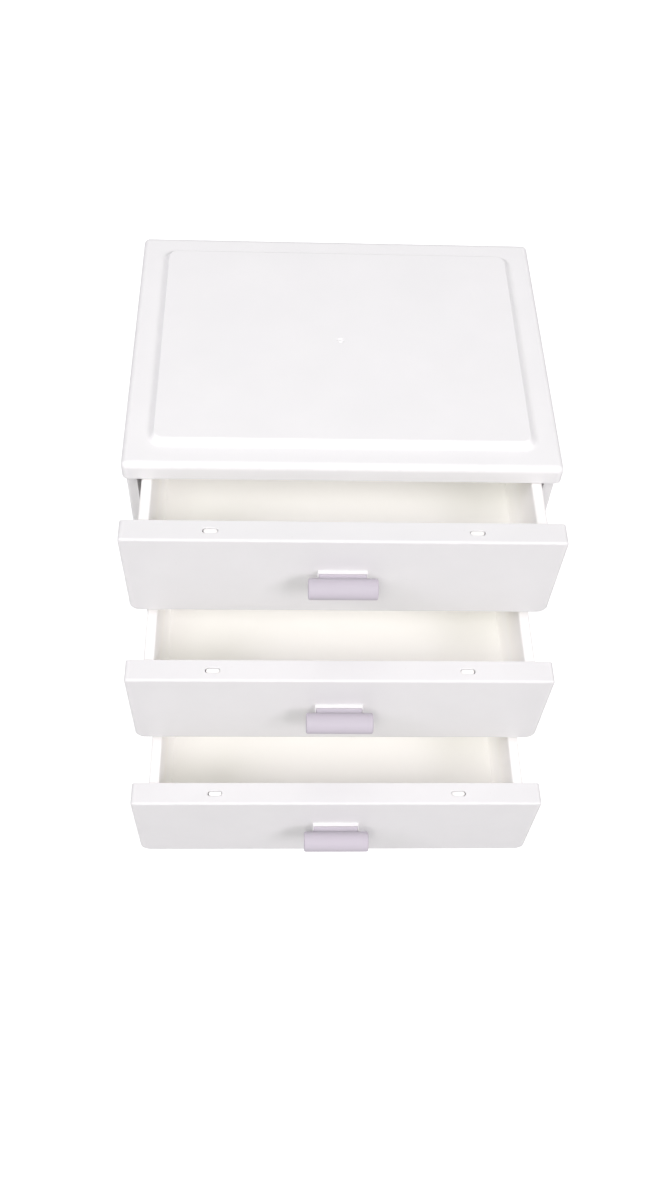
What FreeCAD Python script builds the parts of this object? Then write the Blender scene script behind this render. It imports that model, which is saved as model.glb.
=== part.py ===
"""Miniature chest of drawers: a moulded cabinet with three drawers, modelled part-open.

Millimetres, +Z up, and the drawers open towards -Y. The origin is the middle of the base
panel's underside, which is what the chest stands on.
"""
import math
import os
import FreeCAD, Part
from FreeCAD import Vector

# ---- driving dimensions ----
# lid
lid_width = 100.0
lid_depth = 78.5
lid_height = 4.9            # the lip, from its lower edge to the flat border
lid_plate = 2.2             # thickness of the plate inside the lip
lid_skirt = 1.2             # thickness of the lip
lid_edge_radius = 1.4
lid_corner_radius = 1.3     # in plan
panel_border = 5.8          # lid edge to the foot of the raised panel
panel_slope = 1.25
panel_rise = 1.5
panel_corner_radius = 2.8
panel_pocket = 0.5          # hollow under the raised panel
hollow_radius = 0.3         # corners of the hollows inside lid and base
gate_radius = 0.85
gate_depth = 0.25

# cabinet
lid_overhang = 0.2          # lid past each side panel
front_setback = 4.0         # side panels behind the lid's front edge
back_setback = 0.3
side_wall = 2.4
side_edge_radius = 0.5
base_height = 5.0
base_plate = 2.2
base_skirt = 1.8
base_rib = 2.4
base_edge_radius = 0.8
divider_plate = 1.6
back_wall = 2.0
back_inset = 1.0            # back panel ahead of the side panels' rear edges
groove_depth = 1.2
tongue_wall = 1.2
tongue_height = 2.4         # into the lid
key_height = 1.0            # into the base
key_inset = 0.6             # key from the side panel's inner face
guide_height = 1.2
foot_width = 6.0
foot_height = 2.2
snap_length = 7.0
snap_height = 0.8
snap_depth = 0.4
snap_spacing = 44.0

# drawers
front_inset = 0.15          # front's side edges inside the lid's
front_height = 27.0
front_wall = 2.0
front_cavity = 1.7          # between the front's wall and the tray's front plate
front_taper = 0.4           # how much each side closes in towards the lower edge
front_lower_radius = 2.2
front_upper_radius = 0.9
front_edge_radius = 0.5
tray_side_gap = 1.7         # rim to the side panel's wall
tray_back_gap = 1.5         # shut tray to the back panel
tray_hold = 14.0            # length of tray still inside at the stop
under_tray = 4.2            # how far the front reaches below the tray
tray_floor = 1.6
tray_wall = 1.7
tray_draft = 0.7
tray_corner_radius = 2.0    # inside
rim_width = 2.5
rim_height = 1.5
tray_front_plate = 2.0
window_length = 3.5
window_width = 1.4
window_inset = 20.2         # window's middle from the front's side edge
lug_length = 3.15
lug_wall = 1.4
lug_drop = 0.15             # lug face below the front's top edge

# handle
boss_width = 11.5
boss_height = 3.4
boss_reach = 2.1
boss_drop = 10.7            # boss's top face below the front's top edge
boss_skin = 0.9             # top of the boss that stays whole behind the tongue
boss_edge_radius = 0.3
tongue_inset = 0.25         # boss's wall beside the tongue
tongue_thickness = 1.9
tongue_drop = 0.1           # tongue's face below the boss's top face
tang_width = 8.8
tang_thickness = 0.85
barb_rise = 0.4
barb_length = 0.9
bar_radius = 2.45
bar_length = 15.8
bar_offset = 4.7            # bar's centre line ahead of the front's face
bar_drop = 11.35            # bar's centre line below the front's top edge
bar_edge_radius = 0.45

# fastening
screw_radius = 1.0
screw_length = 6.2
screw_head_radius = 1.9
screw_head_height = 1.3
screw_head_edge = 0.4
screw_slot_width = 0.5
screw_slot_depth = 0.7
screw_inset = 3.6           # screw's axis from the side panel's inner face
screw_spacing = 54.0
screw_boss_wall = 1.35
screw_end_gap = 0.2
screw_cap = 0.4             # boss's closed end above the pilot hole

# runners and stops
runner_width = 1.6
runner_inset = 7.7          # runner's middle from the side of the tray's rim
runner_rise = 1.25          # above a divider
stop_width = 24.0
stop_thickness = 1.2
stop_lug_height = 1.0
stop_lug_thickness = 1.5
stop_overlap = 0.6          # how far the lug and the stop bar meet
divider_inset = 0.8         # dividers behind the side panels' front edges

# gaps and clearances
lid_gap = 0.4               # lid to the top drawer's front
front_gap = 1.5             # between drawer fronts
base_gap = 0.8              # bottom drawer's front to the base
shut_gap = 0.3              # shut drawer front to the side panels
slide_gap = 0.15            # tray to its runners
guide_gap = 0.3             # rim to the guide ribs
seat_gap = 0.1              # between pieces that are fitted together
screw_gap = 0.05            # screw to its pilot hole
screw_clearance = 0.15      # screw to the hole in the base
head_clearance = 0.3        # screw head to its recess
stop_gap = 0.05

# the drawers from the top down, and how far short of its stop each stands
short_of_stop = {"top": 41.0, "middle": 22.5, "bottom": 5.2}

# ---- levels and planes that follow ----
drawer_count = len(short_of_stop)
front_pitch = front_height + front_gap
bays_height = drawer_count * front_pitch - front_gap
side_top = base_height + base_gap + bays_height + lid_gap
lid_top = side_top + lid_height
under_lid = lid_top - lid_plate
half_depth = lid_depth / 2
cabinet_half = lid_width / 2 - lid_overhang
cabinet_front = -half_depth + front_setback
cabinet_back = half_depth - back_setback
inner_half = cabinet_half - side_wall
back_face = cabinet_back - back_inset - back_wall
front_half = lid_width / 2 - front_inset
front_thickness = front_wall + front_cavity + tray_front_plate
window_x = front_half - window_inset
shut_face = cabinet_front - shut_gap            # rear face of a shut drawer front
runner_front = cabinet_front + divider_inset
runner_back = back_face - seat_gap
stop_rear = runner_front + stop_thickness
tray_half = inner_half - tray_side_gap          # over the rim
tray_height = front_height - under_tray
tray_inner_depth = tray_height - tray_floor
tray_depth = back_face - tray_back_gap - shut_face
travel = tray_depth - tray_hold                 # from shut to the stop
runner_x = tray_half - runner_inset
stop_lug_front = travel + stop_rear + stop_gap - shut_face
skirt_inner = lid_width / 2 - lid_skirt
screw_x = inner_half - screw_inset
pilot_radius = screw_radius + screw_gap
pilot_top = base_height - base_plate + screw_length + screw_end_gap


def drawer_top(index):
    """Height of a drawer front's top edge, counted from the top drawer."""
    return side_top - lid_gap - index * front_pitch


def tray_bottom(index):
    return drawer_top(index) - tray_height


# ---- helpers ----
def box(x0, x1, y0, y1, z0, z1):
    return Part.makeBox(x1 - x0, y1 - y0, z1 - z0, Vector(x0, y0, z0))


def centred(half, y0, y1, z0, z1):
    return box(-half, half, y0, y1, z0, z1)


def post(radius, x, y, z0, z1):
    return Part.makeCylinder(radius, z1 - z0, Vector(x, y, z0))


def mirrored(shape):
    return shape.mirror(Vector(0, 0, 0), Vector(1, 0, 0))


def both_sides(shape):
    return [shape, mirrored(shape)]


def join(first, *others):
    return first.fuse(list(others)).removeSplitter()


def cut(first, *others):
    return first.cut(list(others))


def rounded_wire(corners, radii):
    """Closed flat wire through the corners, each rounded by its own radius."""
    edges = []
    ends = []
    for i, corner in enumerate(corners):
        back = (corners[i - 1] - corner).normalize()
        ahead = (corners[(i + 1) % len(corners)] - corner).normalize()
        half_angle = back.getAngle(ahead) / 2
        reach = radii[i] / math.tan(half_angle)
        first = corner + back * reach
        last = corner + ahead * reach
        if radii[i] > 0:
            middle = (back + ahead).normalize()
            to_arc = radii[i] / math.sin(half_angle) - radii[i]
            edges.append(Part.Arc(first, corner + middle * to_arc, last).toShape())
        ends.append((first, last))
    for i, (first, last) in enumerate(ends):
        following = ends[(i + 1) % len(ends)][0]
        edges.append(Part.LineSegment(last, following).toShape())
    return Part.Wire(Part.__sortEdges__(edges))


def plan(half, y0, y1, z, front_radius, back_radius):
    """Rectangle in plan at height z, with its front and back corners rounded."""
    corners = [Vector(-half, y0, z), Vector(half, y0, z),
               Vector(half, y1, z), Vector(-half, y1, z)]
    return rounded_wire(corners, [front_radius, front_radius, back_radius, back_radius])


def slab(half, y0, y1, z0, z1, radius):
    outline = plan(half, y0, y1, z0, radius, radius)
    return Part.Face(outline).extrude(Vector(0, 0, z1 - z0))


def tapered(low, high):
    return Part.makeLoft([low, high], True, True)


def edges_at_height(shape, z):
    return [e for e in shape.Edges
            if abs(e.BoundBox.ZMin - z) < 1e-6 and abs(e.BoundBox.ZMax - z) < 1e-6]


def edges_at_depth(shape, y):
    return [e for e in shape.Edges
            if abs(e.BoundBox.YMin - y) < 1e-6 and abs(e.BoundBox.YMax - y) < 1e-6]


# ---- lid ----
def make_lid():
    half = lid_width / 2
    body = slab(half, -half_depth, half_depth, side_top, lid_top, lid_corner_radius)
    body = body.makeFillet(lid_edge_radius, edges_at_height(body, lid_top))
    foot = panel_border
    crown = panel_border + panel_slope
    crown_radius = panel_corner_radius - panel_slope / 2
    panel = tapered(
        plan(half - foot, -half_depth + foot, half_depth - foot, lid_top,
             panel_corner_radius, panel_corner_radius),
        plan(half - crown, -half_depth + crown, half_depth - crown, lid_top + panel_rise,
             crown_radius, crown_radius))
    inner_y = half_depth - lid_skirt
    hollow = slab(skirt_inner, -inner_y, inner_y, side_top, under_lid, hollow_radius)
    pocket_inset = crown + lid_plate / 2
    pocket = slab(half - pocket_inset, -half_depth + pocket_inset, half_depth - pocket_inset,
                  under_lid, under_lid + panel_pocket, crown_radius)
    gate = post(gate_radius, 0, 0, lid_top + panel_rise - gate_depth, lid_top + panel_rise)
    catches = [mouth for y in (-snap_spacing / 2, snap_spacing / 2)
               for mouth in both_sides(snap(y, skirt_inner, snap_depth, seat_gap))]
    return cut(join(body, panel), hollow, pocket, gate, *catches)


def snap(y, face, depth, ease):
    """Long narrow bead, or the catch for it, on the outer side of a face."""
    middle = side_top + tongue_height / 2
    return box(face, face + depth, y - snap_length / 2 - ease, y + snap_length / 2 + ease,
               middle - snap_height / 2 - ease, middle + snap_height / 2 + ease)


# ---- cabinet ----
def divider_top(index):
    """Upper face of the plate of the divider under a drawer."""
    return tray_bottom(index) - slide_gap - runner_rise


def make_right_side():
    wall = box(inner_half, cabinet_half, cabinet_front, cabinet_back, base_height, side_top)
    outer_edges = [e for e in wall.Edges
                   if abs(e.BoundBox.XMin - cabinet_half) < 1e-6 and e.BoundBox.ZLength > side_wall]
    wall = wall.makeFillet(side_edge_radius, outer_edges)
    tongue_face = skirt_inner - seat_gap
    tongue_back = back_face - seat_gap
    tongue = box(tongue_face - tongue_wall, tongue_face, cabinet_front, tongue_back,
                 side_top - tongue_wall, side_top + tongue_height)
    beads = [snap(y, tongue_face, snap_depth, 0) for y in (-snap_spacing / 2, snap_spacing / 2)]
    key_x = inner_half + key_inset
    key = box(key_x, key_x + tongue_wall, cabinet_front + front_setback, back_face - front_setback,
              base_height - key_height, base_height + tongue_wall)
    foot = box(inner_half - foot_width, inner_half, cabinet_front + front_setback,
               back_face - front_setback, base_height, base_height + foot_height)
    bosses = [post(pilot_radius + screw_boss_wall, screw_x, y, base_height,
                   pilot_top + screw_cap) for y in (-screw_spacing / 2, screw_spacing / 2)]
    pilots = [post(pilot_radius, screw_x, y, base_height, pilot_top)
              for y in (-screw_spacing / 2, screw_spacing / 2)]
    guides = []
    grooves = [box(inner_half, inner_half + groove_depth, back_face - seat_gap,
                   back_face + back_wall + seat_gap, base_height, side_top)]
    for index in range(drawer_count):
        top = drawer_top(index) - (rim_height - guide_height) / 2
        guides.append(box(tray_half + guide_gap, inner_half, runner_front,
                          runner_back - groove_depth, top - guide_height, top))
        if index < drawer_count - 1:
            plate_top = divider_top(index)
            grooves.append(box(inner_half, inner_half + groove_depth, runner_front - seat_gap,
                               back_face, plate_top - divider_plate - seat_gap / 2,
                               plate_top + seat_gap / 2))
    side = join(wall, tongue, key, foot, *beads, *bosses, *guides)
    return cut(side, *pilots, *grooves)


def make_back_panel():
    half = inner_half + groove_depth - seat_gap
    return centred(half, back_face, back_face + back_wall, base_height,
                   under_lid - seat_gap)


def runners(floor, top):
    """Pair of runner ribs and the stop bar between them, standing on a floor."""
    rib = box(runner_x - runner_width / 2, runner_x + runner_width / 2,
              runner_front, runner_back, floor, top)
    stop_top = top + slide_gap - stop_lug_height + stop_overlap
    stop = centred(stop_width / 2, runner_front, stop_rear, floor, stop_top)
    return both_sides(rib) + [stop]


def make_divider(index):
    plate_top = divider_top(index)
    plate = centred(inner_half + groove_depth - seat_gap, runner_front, runner_back,
                    plate_top - divider_plate, plate_top)
    return join(plate, *runners(plate_top, tray_bottom(index) - slide_gap))


def make_base_panel():
    body = slab(cabinet_half, -half_depth, half_depth, 0, base_height, lid_corner_radius)
    body = body.makeFillet(base_edge_radius, edges_at_height(body, base_height))
    ceiling = base_height - base_plate
    hollow = slab(cabinet_half - base_skirt, -half_depth + base_skirt, half_depth - base_skirt,
                  0, ceiling, hollow_radius)
    cross = [centred(base_rib / 2, -half_depth + base_skirt / 2, half_depth - base_skirt / 2,
                     0, base_height - base_plate / 2),
             centred(cabinet_half - base_skirt / 2, -base_rib / 2, base_rib / 2,
                     0, base_height - base_plate / 2)]
    recess_radius = screw_head_radius + head_clearance
    rings, recesses, holes = [], [], []
    for y in (-screw_spacing / 2, screw_spacing / 2):
        rings += both_sides(post(recess_radius + screw_boss_wall, screw_x, y, 0,
                                 base_height - base_plate / 2))
        recesses += both_sides(post(recess_radius, screw_x, y, 0, ceiling))
        holes += both_sides(post(screw_radius + screw_clearance, screw_x, y, 0, base_height))
    key_x = inner_half + key_inset
    slots = both_sides(box(key_x - seat_gap, key_x + tongue_wall + seat_gap,
                           cabinet_front + front_setback - seat_gap,
                           back_face - front_setback + seat_gap,
                           base_height - key_height - seat_gap, base_height))
    floor = join(cut(body, hollow), *cross, *rings)
    floor = cut(floor, *recesses, *holes, *slots)
    last = drawer_count - 1
    return join(floor, *runners(base_height, tray_bottom(last) - slide_gap))


def make_screw(x, y):
    """Pan-head self-tapping screw, seen as its outer cylinder, with a cross slot."""
    seat = base_height - base_plate
    head = post(screw_head_radius, x, y, seat - screw_head_height, seat)
    head = head.makeFillet(screw_head_edge, edges_at_height(head, seat - screw_head_height))
    shank = post(screw_radius, x, y, seat, seat + screw_length)
    tip = Part.makeCone(screw_radius, screw_radius / 4, screw_radius,
                        Vector(x, y, seat + screw_length - screw_radius))
    shank = cut(shank, post(screw_radius, x, y, seat + screw_length - screw_radius,
                            seat + screw_length))
    arm = screw_head_radius * 0.6
    low = seat - screw_head_height
    slot_x = box(x - arm, x + arm, y - screw_slot_width / 2, y + screw_slot_width / 2,
                 low, low + screw_slot_depth)
    slot_y = box(x - screw_slot_width / 2, x + screw_slot_width / 2, y - arm, y + arm,
                 low, low + screw_slot_depth)
    return cut(join(head, shank, tip), slot_x, slot_y)


# ---- drawers, with y = 0 at the rear face of the front and z = 0 at its top edge ----
def front_outline(inset, y):
    """The front's outline, drawn in by an inset."""
    top = front_half - inset
    low = front_half - front_taper - inset
    corners = [Vector(-top, y, -inset), Vector(top, y, -inset),
               Vector(low, y, -front_height + inset), Vector(-low, y, -front_height + inset)]
    upper = max(front_upper_radius - inset, 0)
    lower = max(front_lower_radius - inset, 0)
    return rounded_wire(corners, [upper, upper, lower, lower])


def make_front():
    face = -front_thickness
    body = Part.Face(front_outline(0, face)).extrude(Vector(0, front_thickness, 0))
    body = body.makeFillet(front_edge_radius, edges_at_depth(body, face))
    hollow = Part.Face(front_outline(front_wall, face + front_wall)).extrude(
        Vector(0, front_thickness - front_wall, 0))
    boss_top = -boss_drop
    boss = centred(boss_width / 2, face - boss_reach, face + front_wall / 2,
                   boss_top - boss_height, boss_top)
    boss = boss.makeFillet(boss_edge_radius, edges_at_depth(boss, face - boss_reach))
    channel = centred(boss_width / 2 - tongue_inset, face - boss_reach, face - boss_skin,
                      boss_top - tongue_drop - tongue_thickness, boss_top)
    floor = boss_top - tongue_drop - tongue_thickness
    tang_slot = centred(tang_width / 2 + seat_gap, face - boss_skin, face + front_wall,
                        floor, floor + tang_thickness + seat_gap)
    windows = both_sides(window_box(window_length, window_width, -front_wall, 0))
    body = cut(body, hollow)
    return cut(join(body, boss), channel, tang_slot, *windows)


def window_box(length, width, z0, z1):
    middle = -front_thickness / 2
    return box(window_x - length / 2, window_x + length / 2, middle - width / 2, middle + width / 2, z0, z1)


def make_tray():
    top_half = tray_half - rim_width
    low_half = top_half - tray_draft
    inner_back = tray_depth - rim_width
    floor = -tray_inner_depth
    outer_radius = tray_corner_radius + tray_wall
    bottom = -tray_height
    outside = tapered(
        plan(low_half + tray_wall, 0, inner_back - tray_draft + tray_wall, bottom,
             0, outer_radius),
        plan(top_half + tray_wall, 0, inner_back + tray_wall, 0, 0, outer_radius))
    inside = tapered(
        plan(low_half, 0, inner_back - tray_draft, floor, 0, tray_corner_radius),
        plan(top_half, 0, inner_back, 0, 0, tray_corner_radius))
    rim_outline = plan(tray_half, 0, tray_depth, -rim_height, 0,
                       tray_corner_radius + rim_width)
    rim = Part.Face(rim_outline).extrude(Vector(0, 0, rim_height))
    plate_inset = front_wall + seat_gap
    plate = Part.Face(front_outline(plate_inset, -tray_front_plate)).extrude(
        Vector(0, tray_front_plate, 0))
    stop_lug = centred(stop_width / 3, stop_lug_front, stop_lug_front + stop_lug_thickness,
                       bottom - stop_lug_height, bottom + tray_floor / 2)
    shell = cut(join(outside, rim), inside)
    return join(shell, plate, stop_lug, *snap_lugs())


def snap_lugs():
    """Lugs on the tray's front plate that turn up into the front's two windows."""
    x = window_x - window_length / 2 + seat_gap
    lug_width = window_width - 2 * seat_gap
    near = -front_thickness / 2 + lug_width / 2
    far = near - lug_width
    under = -front_wall - seat_gap
    foot = box(x, x + lug_length, far, -tray_front_plate / 2, under - lug_wall, under)
    head = box(x, x + lug_length, far, near, under - lug_wall, -lug_drop)
    return both_sides(join(foot, head))


def make_handle():
    face = -front_thickness
    bar_y = face - bar_offset
    bar = Part.makeCylinder(bar_radius, bar_length, Vector(-bar_length / 2, bar_y, -bar_drop),
                            Vector(1, 0, 0))
    ends = [e for e in bar.Edges if e.BoundBox.XLength < 1e-6]
    bar = bar.makeFillet(bar_edge_radius, ends)
    top = -boss_drop - tongue_drop
    floor = top - tongue_thickness
    half = boss_width / 2 - tongue_inset - seat_gap / 2
    tongue = centred(half, bar_y, face - boss_skin - seat_gap / 2, floor, top)
    wall_back = face + front_wall + seat_gap / 2
    tang = centred(tang_width / 2, face - boss_skin - front_wall / 2, wall_back + barb_length,
                   floor, floor + tang_thickness)
    barb = centred(tang_width / 2, wall_back, wall_back + barb_length, floor,
                   floor + tang_thickness + barb_rise)
    return join(bar, tongue, tang, barb)


# ---- all the pieces in place ----
def make_all():
    right_side = make_right_side()
    pieces = {
        "lid": make_lid(),
        "left_side_panel": mirrored(right_side),
        "right_side_panel": right_side,
        "back_panel": make_back_panel(),
        "base_panel": make_base_panel(),
        "upper_divider": make_divider(0),
        "lower_divider": make_divider(1),
    }
    for depth_name, y in (("front", -screw_spacing / 2), ("back", screw_spacing / 2)):
        for side_name, x in (("left", -screw_x), ("right", screw_x)):
            pieces[f"{depth_name}_{side_name}_base_screw"] = make_screw(x, y)
    drawer_pieces = {"front": make_front(), "tray": make_tray(), "handle": make_handle()}
    for index, (name, short) in enumerate(short_of_stop.items()):
        place = Vector(0, shut_face - travel + short, drawer_top(index))
        for piece_name, piece in drawer_pieces.items():
            moved = piece.copy()
            moved.translate(place)
            pieces[f"{name}_drawer_{piece_name}"] = moved
    return pieces


os.makedirs("parts", exist_ok=True)
for node, shape in make_all().items():
    print(node, len(shape.Solids), shape.isValid(), round(shape.Volume, 1))
    shape.exportStep(f"parts/{node}.step")
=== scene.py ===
import math

import bmesh
import bpy
from mathutils import Euler, Matrix, Vector


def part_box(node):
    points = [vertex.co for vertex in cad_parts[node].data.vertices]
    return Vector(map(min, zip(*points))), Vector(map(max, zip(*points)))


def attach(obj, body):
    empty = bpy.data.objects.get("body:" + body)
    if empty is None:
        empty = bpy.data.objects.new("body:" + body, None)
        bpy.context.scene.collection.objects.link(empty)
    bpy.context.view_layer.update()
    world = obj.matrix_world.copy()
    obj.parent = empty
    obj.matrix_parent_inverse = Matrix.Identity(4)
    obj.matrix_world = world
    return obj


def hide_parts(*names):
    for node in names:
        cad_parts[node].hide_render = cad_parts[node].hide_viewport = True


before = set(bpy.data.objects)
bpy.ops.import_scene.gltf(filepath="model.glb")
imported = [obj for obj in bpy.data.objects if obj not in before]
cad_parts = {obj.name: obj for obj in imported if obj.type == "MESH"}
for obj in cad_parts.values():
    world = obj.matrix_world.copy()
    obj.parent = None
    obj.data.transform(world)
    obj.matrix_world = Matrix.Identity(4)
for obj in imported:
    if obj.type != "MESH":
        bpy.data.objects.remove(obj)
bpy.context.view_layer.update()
mm = 0.001


# camera and light

cameraSettings = {
    "place": (-13.8, -217.7, 297.6),        # mm
    "turn": (35.07, -2.25, -1.10),          # degrees
    "lens": 35.96,
    "sensor": 36.0,
}

lightSettings = {
    "worldStrength": 0.38,
    "worldColour": (0.97, 0.97, 1.0),
    "backdrop": 1.04,                       # how bright the backdrop looks
    "aim": (0.0, -30.0, 60.0),              # mm
    "distance": 2.0,                        # metres
    "size": 0.78,
    "lamps": {                              # azimuth and height in degrees, power in watts
        "frontSoftbox": {"azimuth": -15.0, "height": 50.0, "power": 15.5, "colour": (1.0, 1.0, 0.93)},
        "rightSoftbox": {"azimuth": 45.0, "height": 36.0, "power": 17.6, "colour": (0.99, 0.94, 1.0)},
        "leftSoftbox": {"azimuth": -70.0, "height": 39.0, "power": 11.2, "colour": (0.95, 0.89, 1.0)},
        "backSoftbox": {"azimuth": 180.0, "height": 60.0, "power": 2.6, "colour": (0.93, 1.0, 0.90)},
    },
}


def makeCamera():
    data = bpy.data.cameras.new("studioCamera")
    data.lens = cameraSettings["lens"]
    data.sensor_width = cameraSettings["sensor"]
    data.clip_start = 0.005
    data.clip_end = 20.0
    camera = bpy.data.objects.new("studioCamera", data)
    camera.location = Vector(cameraSettings["place"]) * mm
    turn = [math.radians(angle) for angle in cameraSettings["turn"]]
    camera.rotation_euler = Euler(turn, "XYZ")
    bpy.context.scene.collection.objects.link(camera)
    bpy.context.scene.camera = camera


def makeLights():
    world = bpy.data.worlds.new("studioWorld")
    bpy.context.scene.world = world
    world.use_nodes = True
    background = world.node_tree.nodes["Background"]
    background.inputs["Color"].default_value = (*lightSettings["worldColour"], 1.0)
    # the camera sees a white backdrop, and the object gets a fainter light from it
    seen = world.node_tree.nodes.new("ShaderNodeLightPath").outputs["Is Camera Ray"]
    strength = ramp(world.node_tree, seen, 0.0, 1.0,
                    lightSettings["worldStrength"], lightSettings["backdrop"])
    world.node_tree.links.new(strength, background.inputs["Strength"])
    for name, lamp in lightSettings["lamps"].items():
        data = bpy.data.lights.new(name, "AREA")
        data.size = lightSettings["size"]
        data.energy = lamp["power"]
        data.color = lamp["colour"]
        light = bpy.data.objects.new(name, data)
        around, up = math.radians(lamp["azimuth"]), math.radians(lamp["height"])
        level = math.cos(up)
        towards = Vector((math.sin(around) * level, -math.cos(around) * level, math.sin(up)))
        light.location = Vector(lightSettings["aim"]) * mm + towards * lightSettings["distance"]
        light.rotation_euler = (-towards).to_track_quat("-Z", "Y").to_euler()
        bpy.context.scene.collection.objects.link(light)
    bpy.context.scene.view_settings.view_transform = "Standard"


# materials

def nodeIn(tree, kind, **values):
    node = tree.nodes.new(kind)
    for name, value in values.items():
        if hasattr(node, name):
            setattr(node, name, value)
        else:
            node.inputs[name.replace("_", " ")].default_value = value
    return node


def ramp(tree, source, low, high, outLow, outHigh):
    # maps a value between low and high on to outLow..outHigh
    remap = tree.nodes.new("ShaderNodeMapRange")
    remap.inputs["From Min"].default_value = low
    remap.inputs["From Max"].default_value = high
    remap.inputs["To Min"].default_value = outLow
    remap.inputs["To Max"].default_value = outHigh
    tree.links.new(source, remap.inputs["Value"])
    return remap.outputs["Result"]


def blendColour(tree, share, first, second):
    # first and second are colours or sockets
    mix = tree.nodes.new("ShaderNodeMix")
    mix.data_type = "RGBA"
    tree.links.new(share, mix.inputs["Factor"])
    for socket, value in ((mix.inputs[6], first), (mix.inputs[7], second)):
        if isinstance(value, bpy.types.NodeSocket):
            tree.links.new(value, socket)
        else:
            socket.default_value = (*value, 1.0)
    return mix.outputs[2]


def multiply(tree, first, second):
    node = tree.nodes.new("ShaderNodeMath")
    node.operation = "MULTIPLY"
    tree.links.new(first, node.inputs[0])
    if isinstance(second, bpy.types.NodeSocket):
        tree.links.new(second, node.inputs[1])
    else:
        node.inputs[1].default_value = second
    return node.outputs[0]


def noise(tree, coordinate, size, detail=3.0, stretch=(1.0, 1.0, 1.0)):
    # size is the pattern's scale in millimetres
    mapping = tree.nodes.new("ShaderNodeMapping")
    mapping.inputs["Scale"].default_value = [1.0 / (size * mm * s) for s in stretch]
    tree.links.new(coordinate, mapping.inputs["Vector"])
    texture = tree.nodes.new("ShaderNodeTexNoise")
    texture.inputs["Scale"].default_value = 1.0
    texture.inputs["Detail"].default_value = detail
    tree.links.new(mapping.outputs["Vector"], texture.inputs["Vector"])
    return texture.outputs["Fac"]


plasticPattern = {      # sizes in mm
    "cloud": 14.0, "flow": 3.0, "speck": 0.7,
    "bumpStrength": 0.55, "rubbedGloss": 0.08, "refraction": 1.49,
}

plasticFinishes = {
    "cabinetPlastic": {
        "colour": (0.845, 0.842, 0.842), "cloud": (0.825, 0.823, 0.823), "speck": (0.77, 0.76, 0.75),
        "worn": (0.88, 0.875, 0.875), "roughness": (0.32, 0.44), "specular": 0.45,
        "grain": 0.22, "grainDepth": 0.006, "stretch": (1.0, 1.0, 1.0),
    },
    "frontPlastic": {
        "colour": (0.800, 0.797, 0.797), "cloud": (0.782, 0.780, 0.780), "speck": (0.73, 0.72, 0.71),
        "worn": (0.84, 0.835, 0.835), "roughness": (0.34, 0.46), "specular": 0.45,
        "grain": 0.20, "grainDepth": 0.006, "stretch": (1.0, 1.0, 1.0),
    },
    "trayPlastic": {
        # a lighter, warmer white than the cabinet's and the fronts': painted light that brightens the
        # drawer interiors
        "colour": (0.905, 0.893, 0.873), "cloud": (0.890, 0.878, 0.858), "speck": (0.82, 0.80, 0.77),
        "worn": (0.925, 0.915, 0.90), "roughness": (0.36, 0.50), "specular": 0.45,
        "grain": 0.26, "grainDepth": 0.008, "stretch": (1.0, 1.0, 1.0),
        # glow is painted light: the tray emits light though it is no lamp
        "glow": 0.17, "glowColour": (1.0, 0.98, 0.90),
    },
    "handlePlastic": {
        "colour": (0.545, 0.510, 0.565), "cloud": (0.515, 0.490, 0.535), "speck": (0.42, 0.39, 0.44),
        "worn": (0.58, 0.53, 0.60), "roughness": (0.60, 0.74), "specular": 0.25,
        "grain": 0.18, "grainDepth": 0.012, "stretch": (9.0, 1.0, 1.0),
    },
}


def makePlastic(name, finish):
    material = bpy.data.materials.new(name)
    material.use_nodes = True
    tree = material.node_tree
    shader = tree.nodes["Principled BSDF"]
    place = tree.nodes.new("ShaderNodeTexCoord").outputs["Object"]
    stretch = finish["stretch"]
    pattern = plasticPattern
    clouds = noise(tree, place, pattern["cloud"], 2.0, stretch)     # slow drift of the resin's tone
    flow = noise(tree, place, pattern["flow"], 4.0, stretch)        # flow marks
    specks = noise(tree, place, pattern["speck"], 1.0)
    grain = noise(tree, place, finish["grain"], 2.0, stretch)
    wear = nodeIn(tree, "ShaderNodeAttribute", attribute_name="edgeWear").outputs["Fac"]

    drift = ramp(tree, clouds, 0.3, 0.7, 0.0, 1.0)
    tone = blendColour(tree, drift, finish["colour"], finish["cloud"])
    tone = blendColour(tree, ramp(tree, flow, 0.45, 0.75, 0.0, 0.35), tone, finish["cloud"])
    tone = blendColour(tree, ramp(tree, specks, 0.76, 0.82, 0.0, 0.5), tone, finish["speck"])
    rubbed = multiply(tree, wear, ramp(tree, flow, 0.35, 0.6, 0.25, 0.9))
    tone = blendColour(tree, rubbed, tone, finish["worn"])
    tree.links.new(tone, shader.inputs["Base Color"])

    smooth, dull = finish["roughness"]
    gloss = nodeIn(tree, "ShaderNodeMath", operation="SUBTRACT")
    tree.links.new(ramp(tree, flow, 0.3, 0.7, smooth, dull), gloss.inputs[0])
    tree.links.new(multiply(tree, rubbed, pattern["rubbedGloss"]), gloss.inputs[1])
    tree.links.new(gloss.outputs[0], shader.inputs["Roughness"])
    shader.inputs["IOR"].default_value = pattern["refraction"]
    shader.inputs["Specular IOR Level"].default_value = finish["specular"]
    if "glow" in finish:
        # painted glow: the tray gives off light of its own, standing for light that soaks through the
        # thin walls, strongest deep inside a tray
        soaked = nodeIn(tree, "ShaderNodeAttribute", attribute_name="depthInside").outputs["Fac"]
        tree.links.new(multiply(tree, soaked, finish["glow"]), shader.inputs["Emission Strength"])
        shader.inputs["Emission Color"].default_value = (*finish["glowColour"], 1.0)

    bump = tree.nodes.new("ShaderNodeBump")
    bump.inputs["Strength"].default_value = pattern["bumpStrength"]
    bump.inputs["Distance"].default_value = finish["grainDepth"] * mm
    tree.links.new(grain, bump.inputs["Height"])
    tree.links.new(bump.outputs["Normal"], shader.inputs["Normal"])
    return material


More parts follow.
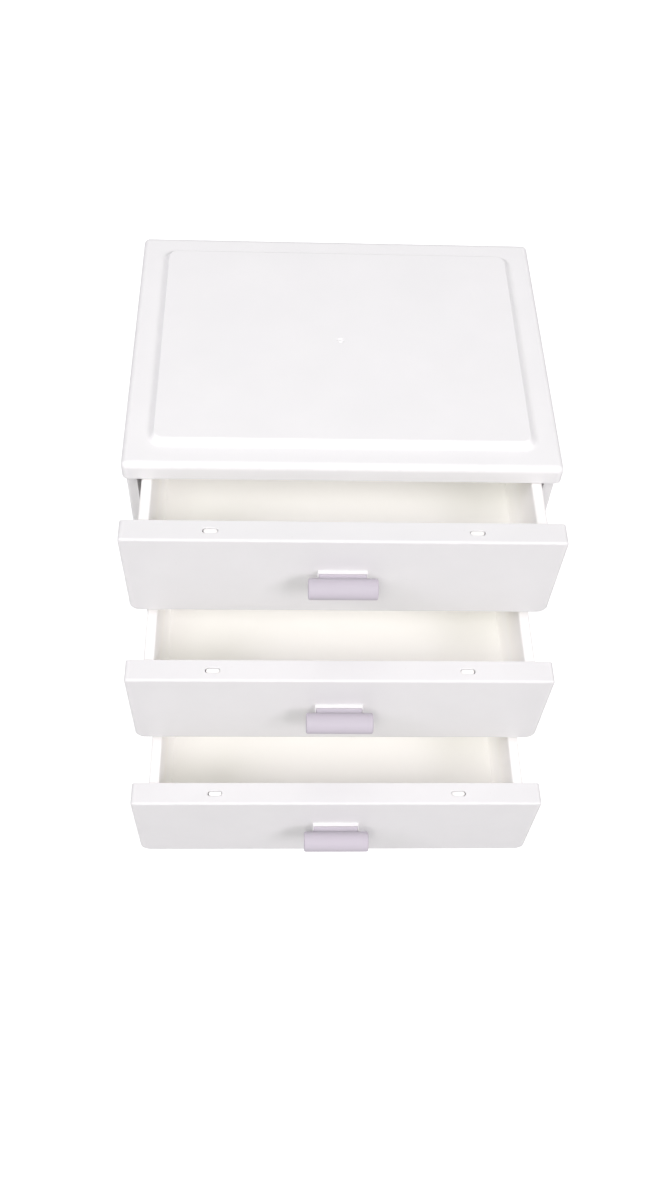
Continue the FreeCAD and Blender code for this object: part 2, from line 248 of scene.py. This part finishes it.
steelFinish = {         # sizes in mm
    "bright": (0.62, 0.62, 0.63), "tarnished": (0.42, 0.41, 0.40), "roughness": (0.22, 0.45),
    "tarnish": 0.9, "scratch": 0.08, "scratchDepth": 0.004, "bumpStrength": 0.4,
}


def makeSteel():
    finish = steelFinish
    material = bpy.data.materials.new("screwSteel")
    material.use_nodes = True
    tree = material.node_tree
    shader = tree.nodes["Principled BSDF"]
    place = tree.nodes.new("ShaderNodeTexCoord").outputs["Object"]
    tarnish = noise(tree, place, finish["tarnish"], 4.0)
    scratches = noise(tree, place, finish["scratch"], 2.0)
    share = ramp(tree, tarnish, 0.35, 0.7, 0.0, 1.0)
    tone = blendColour(tree, share, finish["bright"], finish["tarnished"])
    tree.links.new(tone, shader.inputs["Base Color"])
    tree.links.new(ramp(tree, tarnish, 0.3, 0.7, *finish["roughness"]), shader.inputs["Roughness"])
    shader.inputs["Metallic"].default_value = 1.0
    bump = tree.nodes.new("ShaderNodeBump")
    bump.inputs["Strength"].default_value = finish["bumpStrength"]
    bump.inputs["Distance"].default_value = finish["scratchDepth"] * mm
    tree.links.new(scratches, bump.inputs["Height"])
    tree.links.new(bump.outputs["Normal"], shader.inputs["Normal"])
    return material


floorSettings = {
    "half": 1.6,                            # metres
    "colour": (0.50, 0.50, 0.50), "roughness": 0.9, "specular": 0.1,
    "glow": 0.75,
}


def makeFloor():
    bm = bmesh.new()
    half = floorSettings["half"]
    corners = ((-half, -half), (half, -half), (half, half), (-half, half))
    bm.faces.new([bm.verts.new((x, y, 0.0)) for x, y in corners])
    mesh = bpy.data.meshes.new("studioFloor")
    bm.to_mesh(mesh)
    bm.free()
    floor = bpy.data.objects.new("studioFloor", mesh)
    bpy.context.scene.collection.objects.link(floor)
    material = bpy.data.materials.new("paleFloor")
    material.use_nodes = True
    shader = material.node_tree.nodes["Principled BSDF"]
    shader.inputs["Base Color"].default_value = (*floorSettings["colour"], 1.0)
    shader.inputs["Roughness"].default_value = floorSettings["roughness"]
    shader.inputs["Specular IOR Level"].default_value = floorSettings["specular"]
    shader.inputs["Emission Color"].default_value = (1.0, 1.0, 1.0, 1.0)
    # only the camera sees the glow, so it doesn't light the object
    seen = material.node_tree.nodes.new("ShaderNodeLightPath").outputs["Is Camera Ray"]
    glow = multiply(material.node_tree, seen, floorSettings["glow"])
    material.node_tree.links.new(glow, shader.inputs["Emission Strength"])
    mesh.materials.append(material)


# mesh code, in millimetres until a piece is placed

def rounded(corners, closed, steps, hold=0.35):
    # every corner is (x, y, radius, ...): an arc of its radius takes its place, with a point
    # a little way before and after it that keeps the flats beside it flat
    path = []
    count = len(corners)
    for i, (x, y, radius, *rest) in enumerate(corners):
        if not closed and i in (0, count - 1):
            path.append((x, y, *rest))
            continue
        here = Vector((x, y))
        back = (Vector(corners[i - 1][:2]) - here).normalized()
        ahead = (Vector(corners[(i + 1) % count][:2]) - here).normalized()
        half = back.angle(ahead) / 2
        reach = radius / math.tan(half)
        centre = here + (back + ahead).normalized() * radius / math.sin(half)
        start = here + back * reach - centre
        end = here + ahead * reach - centre
        sweep = math.pi - 2 * half
        points = [here + back * (reach + hold)]
        for s in range(steps + 1):
            t = s / steps
            arm = (start * math.sin((1 - t) * sweep) + end * math.sin(t * sweep)) / math.sin(sweep)
            points.append(centre + arm)
        points.append(here + ahead * (reach + hold))
        path += [(p.x, p.y, *rest) for p in points]
    return path


def rectangle(halfWidth, halfDepth, radius, steps=7, hold=0.35):
    radius = max(min(radius, halfWidth - 0.01, halfDepth - 0.01), 0.02)
    hold = min(hold, 0.9 * (min(halfWidth, halfDepth) - radius) + 0.001)
    corners = [(halfWidth, -halfDepth, radius), (halfWidth, halfDepth, radius),
               (-halfWidth, halfDepth, radius), (-halfWidth, -halfDepth, radius)]
    return rounded(corners, True, steps, hold)


def skin(bm, rings, closed=True):
    # quads between rings of the same number of points, and flat ends
    loops = [[bm.verts.new(point) for point in ring] for ring in rings]
    count = len(loops[0])
    for low, high in zip(loops, loops[1:]):
        for i in range(count if closed else count - 1):
            j = (i + 1) % count
            bm.faces.new((low[i], low[j], high[j], high[i]))
    bm.faces.new(loops[0][::-1])
    bm.faces.new(loops[-1])
    return loops


def block(bm, low, high, edge=0.15, corner=0.15):
    # a bar with rounded edges between two corners, lofted along z
    cx, cy = (low[0] + high[0]) / 2, (low[1] + high[1]) / 2
    hx, hy = (high[0] - low[0]) / 2, (high[1] - low[1]) / 2
    profile = rounded([(min(hx, hy) * 0.8, low[2], 0), (0.0, low[2], edge), (0.0, high[2], edge),
                       (min(hx, hy) * 0.8, high[2], 0)], False, 3, 0.02)
    rings = []
    for inset, z in profile:
        ring = rectangle(hx - inset, hy - inset, max(corner - inset, 0.02), 3, 0.02)
        rings.append([(cx + x, cy + y, z) for x, y in ring])
    skin(bm, rings)


def newSolid(build):
    bm = bmesh.new()
    build(bm)
    bmesh.ops.remove_doubles(bm, verts=bm.verts, dist=0.0008)
    bmesh.ops.recalc_face_normals(bm, faces=bm.faces)
    mark = bm.verts.layers.float.new("edgeWear")
    for vert in bm.verts:
        turns = [edge.calc_face_angle_signed(0.0) for edge in vert.link_edges]
        vert[mark] = min(max(max(turns, default=0.0) / math.radians(12), 0.0), 1.0)
    mesh = bpy.data.meshes.new("solid")
    bm.to_mesh(mesh)
    bm.free()
    obj = bpy.data.objects.new("solid", mesh)
    bpy.context.scene.collection.objects.link(obj)
    return obj


def evaluated(obj):
    graph = bpy.context.evaluated_depsgraph_get()
    return bpy.data.meshes.new_from_object(obj.evaluated_get(graph))


def combine(obj, other, operation):
    # other is used up
    modifier = obj.modifiers.new("combine", "BOOLEAN")
    modifier.object = other
    modifier.operation = operation
    modifier.solver = "EXACT"
    mesh = evaluated(obj)
    obj.modifiers.clear()
    obj.data = mesh
    bpy.data.objects.remove(other)
    return obj


def finishPiece(obj, name, body, nodes, material, place=(0.0, 0.0, 0.0)):
    # place is in mm, and goes into the mesh with the change to metres
    mesh = obj.data
    mesh.transform(Matrix.Scale(mm, 4) @ Matrix.Translation(place))
    mesh.materials.clear()
    mesh.materials.append(material)
    mesh.shade_smooth()
    mesh.set_sharp_from_angle(angle=math.radians(32))
    flats = obj.modifiers.new("flatFaces", "WEIGHTED_NORMAL")
    flats.keep_sharp = True
    obj.name = name
    mesh.name = name
    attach(obj, body)
    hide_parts(*nodes)
    return obj


def nodeBox(node):
    low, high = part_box(node)
    return low / mm, high / mm


# lid

lidSettings = {
    "skirt": 1.2, "plate": 2.2, "edgeRound": 1.4, "skirtRound": 0.3, "cornerRadius": 1.3,
    "border": 5.8, "slope": 1.25, "rise": 1.5, "panelRadius": 2.8, "footRound": 1.3, "crownRound": 0.3,
    "pocketInset": 8.15, "pocket": 0.5, "innerRadius": 0.3,
    "dish": (5.4, 0.03),            # radius and depth of the sunk ring round the gate
    "gate": (0.85, 0.22),
    "stub": (0.38, 0.12),           # what is left of the sprue in the gate
    # recesses inside the skirt for the side panels' snap beads
    "catchY": 22.0, "catchHalf": 3.6, "catchSpan": (-0.3, 0.5), "catchZ": (0.7, 1.7), "catchEdge": 0.08,
}


def makeLid(material):
    s = lidSettings
    low, high = nodeBox("lid")
    halfWidth, halfDepth = high.x, high.y
    border = high.z - s["rise"]
    ceiling = border - s["plate"]
    crown = s["border"] + s["slope"]
    crownRadius = s["panelRadius"] - s["slope"] / 2
    # inset, height, rounding of the profile, and the corner radius in plan at that inset
    profile = [
        (s["pocketInset"] + 6, ceiling + s["pocket"], 0, crownRadius),
        (s["pocketInset"], ceiling + s["pocket"], 0.2, crownRadius),
        (s["pocketInset"], ceiling, 0.2, crownRadius),
        (s["skirt"], ceiling, 0.3, s["innerRadius"]),
        (s["skirt"], low.z, s["skirtRound"], s["innerRadius"]),
        (0.0, low.z, s["skirtRound"], s["cornerRadius"]),
        (0.0, border, s["edgeRound"], s["cornerRadius"]),
        (s["border"], border, s["footRound"], s["panelRadius"]),
        (crown, high.z, s["crownRound"], crownRadius),
        (crown + 6, high.z, 0, crownRadius),
    ]
    corners = [(inset, z, turn, inset + radius) for inset, z, turn, radius in profile]

    def build(bm):
        rings = []
        for inset, z, centre in rounded(corners, False, 7, 0.12):
            ring = rectangle(halfWidth - inset, halfDepth - inset, max(centre - inset, 0.06))
            rings.append([(x, y, z) for x, y in ring])
        dishRadius, dishDepth = s["dish"]
        gateRadius, gateDepth = s["gate"]
        stubRadius, stubHeight = s["stub"]
        floor = high.z - dishDepth - gateDepth
        # radius and height of each circle, from the dish's edge to the top of the stub
        circles = [
            (dishRadius, high.z),
            (dishRadius * 0.75, high.z - dishDepth * 0.45),
            (dishRadius * 0.45, high.z - dishDepth * 0.9),
            (gateRadius + 0.25, high.z - dishDepth),
            (gateRadius + 0.1, high.z - dishDepth),
            (gateRadius, high.z - dishDepth - 0.05),
            (gateRadius - 0.08, floor),
            (stubRadius + 0.05, floor),
            (stubRadius, floor + stubHeight * 0.8),
            (stubRadius * 0.7, floor + stubHeight),
        ]
        for radius, z in circles:
            ring = rectangle(radius, radius, radius, hold=0.001)
            rings.append([(x, y, z) for x, y in ring])
        skin(bm, rings)

    lid = newSolid(build)
    catchLow, catchHigh = s["catchZ"]
    for side in (-1, 1):
        x = sorted(side * (halfWidth - s["skirt"] + reach) for reach in s["catchSpan"])
        for y in (-s["catchY"], s["catchY"]):
            def catch(bm):
                start = (x[0], y - s["catchHalf"], low.z + catchLow)
                end = (x[1], y + s["catchHalf"], low.z + catchHigh)
                block(bm, start, end, s["catchEdge"], s["catchEdge"])
            combine(lid, newSolid(catch), "DIFFERENCE")
    return finishPiece(lid, "lid_moulding", "cabinet", ["lid"], material)


# drawer fronts: y = 0 is the rear face and z = 0 the top edge, until they are placed

frontSettings = {
    "thickness": 5.7, "wall": 2.0, "taper": 0.4, "height": 27.0,
    "lowerRadius": 2.2, "upperRadius": 0.9, "faceRound": 0.5, "sideRound": 1.1, "rimRound": 0.15,
    "window": (3.5, 1.4), "windowInset": 20.2, "windowFlare": 0.1,
    "boss": (11.5, 3.4, 2.1), "bossDrop": 10.7, "bossRound": 0.28, "bossSkin": 0.9,
    "bossRoot": 0.8,                # how far the boss runs into the front's wall
    "channel": (11.0, 2.0), "tangSlot": (9.0, 0.95),
}


def frontRing(half, inset, y, sideInset=None, steps=6):
    s = frontSettings
    top = half - (inset if sideInset is None else sideInset)
    low = top - s["taper"]
    upper = max(s["upperRadius"] - inset, 0.05)
    lower = max(s["lowerRadius"] - inset, 0.3)
    corners = [(-low, -s["height"] + inset, lower), (low, -s["height"] + inset, lower),
               (top, -inset, upper), (-top, -inset, upper)]
    return [(x, y, z) for x, z in rounded(corners, True, steps)]


def stadium(length, width, z, grow, steps=8):
    # closed round-ended slot outline at height z
    radius = width / 2 + grow
    middle = length / 2 - width / 2
    points = []
    for side, start in ((1, -90), (-1, 90)):
        for i in range(steps + 1):
            angle = math.radians(start + 180 * i / steps)
            points.append((side * middle + radius * math.cos(angle), radius * math.sin(angle), z))
    return points


def makeFront(drawer, material):
    s = frontSettings
    node = drawer + "_drawer_front"
    high = nodeBox(node)[1]
    half = high.x
    face = -s["thickness"]
    corners = [(s["wall"] + 5, face + s["wall"], 0), (s["wall"], face + s["wall"], 0.3),
               (s["wall"], 0.0, s["rimRound"]), (0.0, 0.0, s["rimRound"]),
               (0.0, face, s["faceRound"]), (6.0, face, 0)]

    def buildShell(bm):
        # the face's side edges are rounded further in than its upper and lower edges
        rings = []
        for inset, y in rounded(corners, False, 6, 0.12):
            sideInset = inset
            if y < face + s["faceRound"] + 0.01:
                sideInset = inset * s["sideRound"] / s["faceRound"]
            rings.append(frontRing(half, inset, y, sideInset))
        skin(bm, rings)

    bossWidth, bossHeight, bossReach = s["boss"]
    middle = -s["bossDrop"] - bossHeight / 2

    def buildBoss(bm):
        turn = s["bossRound"]
        tip = face - bossReach
        root = face + s["bossRoot"]
        corners = [(1.2, tip, 0), (0.0, tip, turn), (0.0, root, 0.05), (1.2, root, 0)]
        rings = []
        for inset, y in rounded(corners, False, 4, 0.05):
            radius = max(turn - inset, 0.05)
            ring = rectangle(bossWidth / 2 - inset, bossHeight / 2 - inset, radius, 4, 0.05)
            rings.append([(x, y, middle + z) for x, z in ring])
        skin(bm, rings)

    def buildChannel(bm):
        width, depth = s["channel"]
        top = -s["bossDrop"]
        start = (-width / 2, face - bossReach - 1, top - depth)
        end = (width / 2, face - s["bossSkin"], top + 1)
        block(bm, start, end, 0.06, 0.06)

    def buildTangSlot(bm):
        width, depth = s["tangSlot"]
        floor = -s["bossDrop"] - s["channel"][1]
        start = (-width / 2, face - s["bossSkin"] - 0.5, floor)
        end = (width / 2, face + s["wall"] + 0.5, floor + depth)
        block(bm, start, end, 0.03, 0.03)

    shell = combine(newSolid(buildShell), newSolid(buildBoss), "UNION")
    combine(shell, newSolid(buildChannel), "DIFFERENCE")
    combine(shell, newSolid(buildTangSlot), "DIFFERENCE")
    length, width = s["window"]
    flare = s["windowFlare"]
    for side in (-1, 1):
        x = side * (half - s["windowInset"])

        def buildWindow(bm):
            levels = [(-s["wall"] - 0.5, 0.0), (-flare, 0.0), (0.4, flare + 0.4)]
            rings = [[(x + px, face / 2 + py, pz) for px, py, pz in stadium(length, width, z, grow)]
                     for z, grow in levels]
            skin(bm, rings)
        combine(shell, newSolid(buildWindow), "DIFFERENCE")
    return finishPiece(shell, node + "_moulding", drawer + "_drawer", [node], material,
                       (0.0, high.y, high.z))


# drawer trays, in the same place as their fronts

traySettings = {
    "halfWidth": 43.2, "innerBack": 67.5, "innerDepth": 21.2, "floor": 1.6, "wall": 1.7, "draft": 0.7,
    "rimWidth": 2.5, "rimHeight": 1.5, "cornerRadius": 2.0, "floorRound": 0.55, "rimRound": 0.4,
    "plate": 2.0, "plateInset": 2.1,
    "stopLug": (16.0, 58.35, 1.5, 1.0),     # width, front, thickness, reach below the floor
    "lug": (3.15, 1.2, 1.4, 0.15),          # length, width, wall, drop below the front's top edge
}


def trayRing(offset, z, steps=8):
    # open path round the left, back and right walls, offset outwards from the inside of the rim
    s = traySettings
    half = s["halfWidth"] + offset
    back = s["innerBack"] + offset
    radius = max(s["cornerRadius"] + offset, 0.8)
    corners = [(-half, 0.0, 0), (-half, back, radius), (half, back, radius), (half, 0.0, 0)]
    return [(x, y, z) for x, y in rounded(corners, False, steps)]


def markInside(mesh):
    # mask for the trays' painted glow: 1 on the floor inside a tray, fading to 0 at its rim and
    # everywhere outside
    s = traySettings
    mark = mesh.attributes.new("depthInside", "FLOAT", "POINT")
    for vert, item in zip(mesh.vertices, mark.data):
        x, y, z = vert.co
        within = abs(x) < s["halfWidth"] + 0.01 and 0.0 <= y < s["innerBack"] + 0.01
        item.value = -z / s["innerDepth"] if within and -s["innerDepth"] - 0.05 < z < 0.0 else 0.0


def makeTray(drawer, material):
    s = traySettings
    node = drawer + "_drawer_tray"
    frontHigh = nodeBox(drawer + "_drawer_front")[1]
    bottom = -s["innerDepth"] - s["floor"]
    outerAtRim = s["wall"] - s["draft"] * s["rimHeight"] / -bottom
    corners = [
        (-s["draft"] - 4, -s["innerDepth"], 0),
        (-s["draft"], -s["innerDepth"], s["floorRound"]),
        (0.0, 0.0, s["rimRound"]),
        (s["rimWidth"], 0.0, s["rimRound"]),
        (s["rimWidth"], -s["rimHeight"], 0.25),
        (outerAtRim, -s["rimHeight"], 0.2),
        (s["wall"] - s["draft"], bottom, 0.6),
        (-s["draft"] - 4, bottom, 0),
    ]

    def build(bm):
        profile = rounded(corners, False, 5, 0.12)
        loops = skin(bm, [trayRing(offset, z) for offset, z in profile], closed=False)
        section = [loop[0] for loop in loops] + [loop[-1] for loop in reversed(loops)]
        bm.faces.new(section)

    tray = newSolid(build)
    frontHalf = frontHigh.x

    def buildPlate(bm):
        edge = s["plateInset"]
        back = -s["plate"]
        corners = [(edge + 4, back, 0), (edge, back, 0.15), (edge, 0.0, 0.1), (edge + 4, 0.0, 0)]
        skin(bm, [frontRing(frontHalf, inset, y) for inset, y in rounded(corners, False, 3, 0.05)])

    def buildLugs(bm):
        width, front, thickness, reach = s["stopLug"]
        start = (-width / 2, front, bottom - reach)
        end = (width / 2, front + thickness, bottom + s["floor"] / 2)
        block(bm, start, end, 0.12, 0.2)
        length, across, wall, drop = s["lug"]
        under = -frontSettings["wall"] - 0.1
        middle = -frontSettings["thickness"] / 2
        windowX = frontHalf - frontSettings["windowInset"]
        x0 = windowX - frontSettings["window"][0] / 2 + 0.1
        for side in (-1, 1):
            x = sorted((side * x0, side * (x0 + length)))
            start = (x[0], middle - across / 2, under - wall)
            block(bm, start, (x[1], middle + across / 2, -drop), 0.12, across / 2)
            block(bm, start, (x[1], -s["plate"] / 2, under), 0.08, 0.08)

    combine(tray, newSolid(buildPlate), "UNION")
    combine(tray, newSolid(buildLugs), "UNION")
    markInside(tray.data)
    return finishPiece(tray, node + "_moulding", drawer + "_drawer", [node], material,
                       (0.0, frontHigh.y, frontHigh.z))


# handles, in the same place as their fronts

handleSettings = {
    "radius": 2.45, "length": 15.8, "offset": 4.7, "drop": 11.35, "edgeRound": 0.45,
    "tongueGap": 0.05, "tongueDrop": 0.1, "tongueThickness": 1.9, "tongueEdge": 0.12,
    "tang": (8.8, 0.85), "barb": (0.9, 0.4),
}


def makeHandle(drawer, material):
    s = handleSettings
    f = frontSettings
    node = drawer + "_drawer_handle"
    frontHigh = nodeBox(drawer + "_drawer_front")[1]
    face = -f["thickness"]
    barY = face - s["offset"]
    barZ = -s["drop"]
    halfLength = s["length"] / 2

    def buildBar(bm):
        corners = [(0.4, -halfLength, 0), (s["radius"], -halfLength, s["edgeRound"]),
                   (s["radius"], halfLength, s["edgeRound"]), (0.4, halfLength, 0)]
        sides = 56
        angles = [2 * math.pi * i / sides for i in range(sides)]
        rings = []
        for radius, x in rounded(corners, False, 6, 0.1):
            circle = [(radius * math.cos(angle), radius * math.sin(angle)) for angle in angles]
            rings.append([(x, barY + y, barZ + z) for y, z in circle])
        skin(bm, rings)

    top = -f["bossDrop"] - s["tongueDrop"]
    floor = top - s["tongueThickness"]
    tongueHalf = f["channel"][0] / 2 - s["tongueGap"]
    tangWidth, tangThickness = s["tang"]
    barbLength, barbRise = s["barb"]
    wallBack = face + f["wall"] + s["tongueGap"]

    def buildTongue(bm):
        end = (tongueHalf, face - f["bossSkin"] - s["tongueGap"], top)
        block(bm, (-tongueHalf, barY, floor), end, s["tongueEdge"], s["tongueEdge"])

    def buildTang(bm):
        start = (-tangWidth / 2, face - f["bossSkin"] - 0.6, floor)
        end = (tangWidth / 2, wallBack + barbLength, floor + tangThickness)
        block(bm, start, end, 0.05, 0.1)

    def buildBarb(bm):
        end = (tangWidth / 2, wallBack + barbLength, floor + tangThickness + barbRise)
        block(bm, (-tangWidth / 2, wallBack, floor), end, 0.15, 0.1)

    handle = newSolid(buildBar)
    for build in (buildTongue, buildTang, buildBarb):
        combine(handle, newSolid(build), "UNION")
    return finishPiece(handle, node + "_moulding", drawer + "_drawer", [node], material,
                       (0.0, frontHigh.y, frontHigh.z))


# cabinet panels keep their shape and get softened edges

panelSettings = {
    "left_side_panel": {"edge": 0.16, "slot": "cabinet_white"},
    "right_side_panel": {"edge": 0.16, "slot": "cabinet_white"},
    "back_panel": {"edge": 0.16, "slot": "cabinet_white"},
    "base_panel": {"edge": 0.14, "slot": "cabinet_white"},
    "upper_divider": {"edge": 0.12, "slot": "tray_white"},
    "lower_divider": {"edge": 0.12, "slot": "tray_white"},
}


def makePanel(node, settings, material):
    bm = bmesh.new()
    bm.from_mesh(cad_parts[node].data)
    bmesh.ops.remove_doubles(bm, verts=bm.verts, dist=0.002 * mm)
    bmesh.ops.dissolve_limit(bm, angle_limit=math.radians(0.5), verts=bm.verts, edges=bm.edges)
    mesh = bpy.data.meshes.new(node + "_moulding")
    bm.to_mesh(mesh)
    bm.free()
    panel = bpy.data.objects.new(node + "_moulding", mesh)
    bpy.context.scene.collection.objects.link(panel)
    bevel = panel.modifiers.new("softEdges", "BEVEL")
    bevel.width = settings["edge"] * mm
    bevel.segments = 3
    bevel.limit_method = "ANGLE"
    bevel.angle_limit = math.radians(40)
    bevel.harden_normals = True
    mesh.materials.append(material)
    mesh.shade_smooth()
    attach(panel, "cabinet")
    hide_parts(node)
    return panel


# base screws: one threaded screw with a cross-slotted pan head, repeated at the CAD's places

screwSettings = {       # mm
    "Head Radius": 1.9, "Head Height": 1.3, "Head Edge": 0.4,
    "Shank Radius": 1.0, "Shank Length": 6.2, "Tip Length": 1.0, "Tip Share": 0.25,
    "Pitch": 0.9, "Thread Depth": 0.28,
    "Slot Arm": 1.14, "Slot Width": 0.5, "Slot Depth": 0.7,
}


def screwTree(material):
    tree = bpy.data.node_groups.new("crossHeadScrews", "GeometryNodeTree")
    tree.interface.new_socket("Places", in_out="INPUT", socket_type="NodeSocketGeometry")
    for label in screwSettings:
        tree.interface.new_socket(label, in_out="INPUT", socket_type="NodeSocketFloat")
    tree.interface.new_socket("Screws", in_out="OUTPUT", socket_type="NodeSocketGeometry")
    given = tree.nodes.new("NodeGroupInput").outputs

    def fill(socket, value):
        if isinstance(value, bpy.types.NodeSocket):
            tree.links.new(value, socket)
        else:
            socket.default_value = value

    def node(kind, operation=None, **values):
        made = tree.nodes.new(kind)
        if operation:
            made.operation = operation
        for label, value in values.items():
            fill(made.inputs[label.replace("_", " ")], value)
        return made

    def maths(operation, *values):
        made = node("ShaderNodeMath", operation)
        for socket, value in zip(made.inputs, values):
            fill(socket, value)
        return made.outputs[0]

    def point(x, y, z):
        return node("ShaderNodeCombineXYZ", X=x, Y=y, Z=z).outputs[0]

    here = node("ShaderNodeSeparateXYZ", Vector=node("GeometryNodeInputPosition").outputs[0]).outputs
    turn = maths("ARCTAN2", here["Y"], here["X"])

    def lathe(vertices, segments, depth, rise, radiusAt):
        # a closed cylinder, each point moved to the radius for its height above the head's seat
        barrel = node("GeometryNodeMeshCylinder", Vertices=vertices, Side_Segments=segments,
                      Radius=1.0, Depth=depth)
        up = maths("ADD", here["Z"], rise)
        radius = radiusAt(up)
        place = point(maths("MULTIPLY", maths("COSINE", turn), radius),
                      maths("MULTIPLY", maths("SINE", turn), radius), up)
        return node("GeometryNodeSetPosition", Geometry=barrel.outputs["Mesh"], Position=place).outputs[0]

    def headRadius(up):
        # rounded over the head's lower edge
        edge = given["Head Edge"]
        above = maths("ADD", up, given["Head Height"])
        share = maths("MAXIMUM", maths("DIVIDE", maths("SUBTRACT", edge, above), edge), 0.0)
        square = maths("MULTIPLY", share, share)
        fall = maths("SUBTRACT", 1.0, maths("SQRT", maths("SUBTRACT", 1.0, square)))
        return maths("SUBTRACT", given["Head Radius"], maths("MULTIPLY", edge, fall))

    def shankRadius(up):
        # a helical ridge on the core, and a pointed tip
        around = maths("DIVIDE", turn, 2 * math.pi)
        phase = maths("SUBTRACT", maths("DIVIDE", up, given["Pitch"]), around)
        wave = maths("PINGPONG", phase, 0.5)
        ridge = maths("MAXIMUM", maths("SUBTRACT", maths("MULTIPLY", wave, 3.0), 0.5), 0.0)
        core = maths("SUBTRACT", given["Shank Radius"], given["Thread Depth"])
        outer = maths("ADD", core, maths("MULTIPLY", ridge, given["Thread Depth"]))
        left = maths("DIVIDE", maths("SUBTRACT", given["Shank Length"], up), given["Tip Length"])
        swell = maths("MULTIPLY", left, maths("SUBTRACT", 1.0, given["Tip Share"]))
        taper = maths("ADD", swell, given["Tip Share"])
        return maths("MULTIPLY", outer, maths("MINIMUM", taper, 1.0))

    overlap = 0.4       # the shank starts inside the head
    headMiddle = maths("MULTIPLY", given["Head Height"], -0.5)
    head = lathe(40, 16, given["Head Height"], headMiddle, headRadius)
    shankMiddle = maths("SUBTRACT", maths("MULTIPLY", given["Shank Length"], 0.5), overlap / 2)
    shank = lathe(24, 70, maths("ADD", given["Shank Length"], overlap), shankMiddle, shankRadius)
    whole = node("GeometryNodeMeshBoolean", "UNION")
    for part in (head, shank):
        tree.links.new(part, whole.inputs["Mesh 2"])

    slotted = node("GeometryNodeMeshBoolean", "DIFFERENCE", Mesh_1=whole.outputs["Mesh"])
    long = maths("MULTIPLY", given["Slot Arm"], 2.0)
    deep = maths("MULTIPLY", given["Slot Depth"], 2.0)
    low = maths("MULTIPLY", given["Head Height"], -1.0)
    for size in (point(long, given["Slot Width"], deep), point(given["Slot Width"], long, deep)):
        bar = node("GeometryNodeMeshCube", Size=size).outputs["Mesh"]
        moved = node("GeometryNodeTransform", Geometry=bar, Translation=point(0.0, 0.0, low))
        tree.links.new(moved.outputs[0], slotted.inputs["Mesh 2"])

    places = node("GeometryNodeMeshToPoints", Mesh=given["Places"]).outputs[0]
    repeated = node("GeometryNodeInstanceOnPoints", Points=places, Instance=slotted.outputs["Mesh"])
    real = node("GeometryNodeRealizeInstances", Geometry=repeated.outputs[0])
    painted = node("GeometryNodeSetMaterial", Geometry=real.outputs[0], Material=material)
    tree.links.new(painted.outputs[0], tree.nodes.new("NodeGroupOutput").inputs["Screws"])
    return tree


def makeScrews(material):
    nodes = [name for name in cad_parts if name.endswith("_base_screw")]
    mesh = bpy.data.meshes.new("screwPlaces")
    seats = []
    for name in nodes:
        low, high = nodeBox(name)
        middle = (low + high) / 2
        seats.append((middle.x, middle.y, low.z + screwSettings["Head Height"]))
    mesh.from_pydata(seats, [], [])
    screws = bpy.data.objects.new("base_screws", mesh)
    bpy.context.scene.collection.objects.link(screws)
    tree = screwTree(material)
    modifier = screws.modifiers.new("crossHeadScrews", "NODES")
    modifier.node_group = tree
    for item in tree.interface.items_tree:
        if item.in_out == "INPUT" and item.name in screwSettings:
            modifier[item.identifier] = screwSettings[item.name]
    solid = evaluated(screws)
    screws.modifiers.clear()
    screws.data = solid
    return finishPiece(screws, "base_screws", "cabinet", nodes, material)


# making

makeCamera()
makeLights()
makeFloor()
plastics = {name: makePlastic(name, finish) for name, finish in plasticFinishes.items()}
steel = makeSteel()
print("materials made:", ", ".join(plastics))

makeLid(plastics["cabinetPlastic"])
print("lid made")
for drawer in ("top", "middle", "bottom"):
    makeFront(drawer, plastics["frontPlastic"])
    makeTray(drawer, plastics["trayPlastic"])
    makeHandle(drawer, plastics["handlePlastic"])
    print(drawer, "drawer made")
for node, settings in panelSettings.items():
    plastic = plastics["trayPlastic" if settings["slot"] == "tray_white" else "cabinetPlastic"]
    makePanel(node, settings, plastic)
print("cabinet panels made")
screws = makeScrews(steel)
print("base screws made:", len(screws.data.polygons), "faces")
